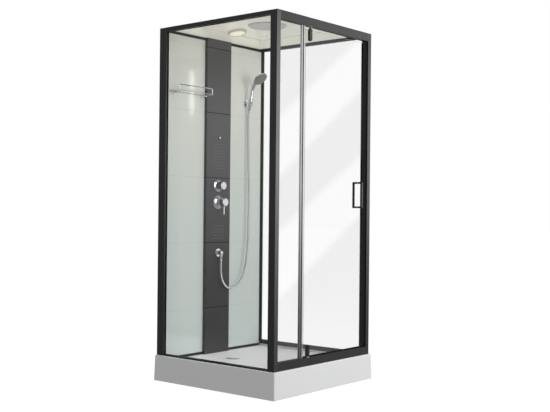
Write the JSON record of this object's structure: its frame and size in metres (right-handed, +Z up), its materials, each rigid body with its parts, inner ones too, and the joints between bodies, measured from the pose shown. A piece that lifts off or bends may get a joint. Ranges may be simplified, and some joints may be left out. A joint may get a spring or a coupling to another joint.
{
  "type": "shower cabin",
  "caption": "square shower cabin with a moulded tray, black frame, clear pivot door, tiled column with jets and mixer, hand shower, shelf and lit roof",
  "frame": {"origin": "on the floor, at the middle of the middle levelling foot, under the centre of the tray", "axes": "+Z up, -Y out through the door, +X to the right of someone looking at the door from outside"},
  "size_m": [0.9238, 0.9269, 2.15],
  "materials": {
    "white_acrylic": "gloss",
    "galvanised_steel": "satin",
    "black_plastic": "satin",
    "grey_pvc": "satin",
    "chrome": "polished",
    "black_frame": "satin",
    "silver_frame": "satin",
    "clear_glass": "polished",
    "clear_vinyl": "satin",
    "black_rubber": "matte",
    "white_acetal": "satin",
    "white_glass": "polished",
    "dark_tile": "gloss",
    "grey_rubber": "matte",
    "brass": "cast",
    "copper_pipe": "drawn",
    "roof_acrylic": "satin",
    "lens": "frosted"
  },
  "bodies": {
    "cabin": {"shower_tray": "white_acrylic", "tray_beams": "galvanised_steel", "levelling_feet": "black_plastic", "post_caps": "black_plastic", "lamp_can": "black_plastic", "jet_manifolds": "black_plastic", "drain_trap": "grey_pvc", "drain_flange": "chrome", "column_peg": "chrome", "control_rosettes": "chrome", "hose_outlet": "chrome", "shower_hose": "chrome", "hand_bracket": "chrome", "gallery_rail": "chrome", "shelf_brackets": "chrome", "light_bezel": "chrome", "rain_head_body": "chrome", "rain_head_stem": "chrome", "front_left_post": "black_frame", "front_right_post": "black_frame", "rear_left_post": "black_frame", "rear_right_post": "black_frame", "side_top_rails": "black_frame", "front_top_rail": "black_frame", "back_rails": "black_frame", "side_sills": "black_frame", "front_threshold": "black_frame", "wall_channels": "black_frame", "fixed_pane_profile": "silver_frame", "left_glass": "clear_glass", "right_glass": "clear_glass", "fixed_front_glass": "clear_glass", "shelf_glass": "clear_glass", "front_seals": "clear_vinyl", "glazing_gaskets": "black_rubber", "pivot_bushes": "white_acetal", "back_panel_left": "white_glass", "back_panel_right": "white_glass", "column_cover": "dark_tile", "body_jets": "grey_rubber", "rain_head_face": "grey_rubber", "diverter_block": "brass", "mixer_body": "brass", "water_pipes": "copper_pipe", "roof_panel": "roof_acrylic", "light_lens": "lens"},
    "door": {"door_glass": "clear_glass", "pivot_clamps": "black_frame", "pivot_pins": "black_frame", "door_handle_outer": "black_frame", "door_handle_inner": "black_frame", "door_seals": "black_rubber"},
    "diverter": {"diverter_knob": "chrome"},
    "mixer_stem": {"mixer_ball_stem": "chrome"},
    "mixer_lever": {"mixer_handle": "chrome"},
    "hand_shower": {"hand_shower_body": "chrome", "spray_face": "grey_rubber", "hand_nut": "chrome"},
    "waste_cover": {"drain_cover": "chrome"}
  },
  "joints": [
    {"name": "door_swing", "type": "hinge", "parent": "cabin", "child": "door", "pos_m": [-0.139, -0.431, 1.114], "axis": [0, 0, -1], "range_deg": [0, 95]},
    {"name": "diverter_turn", "type": "hinge", "parent": "cabin", "child": "diverter", "pos_m": [0, 0.357, 1.16], "axis": [0, -1, 0], "range_deg": [-60, 60]},
    {"name": "mixer_turn", "type": "hinge", "parent": "cabin", "child": "mixer_stem", "pos_m": [0, 0.348, 1.057], "axis": [0, -1, 0], "range_deg": [-50, 50]},
    {"name": "mixer_tilt", "type": "hinge", "parent": "mixer_stem", "child": "mixer_lever", "pos_m": [0, 0.348, 1.057], "axis": [-1, 0, 0], "range_deg": [0, 20]},
    {"name": "hand_shower_lift", "type": "slide", "parent": "cabin", "child": "hand_shower", "axis": [0, -0.2079, 0.9781], "range_m": [0, 0.07], "deforming": ["shower_hose"]},
    {"name": "cover_lift", "type": "slide", "parent": "cabin", "child": "waste_cover", "axis": [0, 0, 1], "range_m": [0, 0.03]}
  ]
}
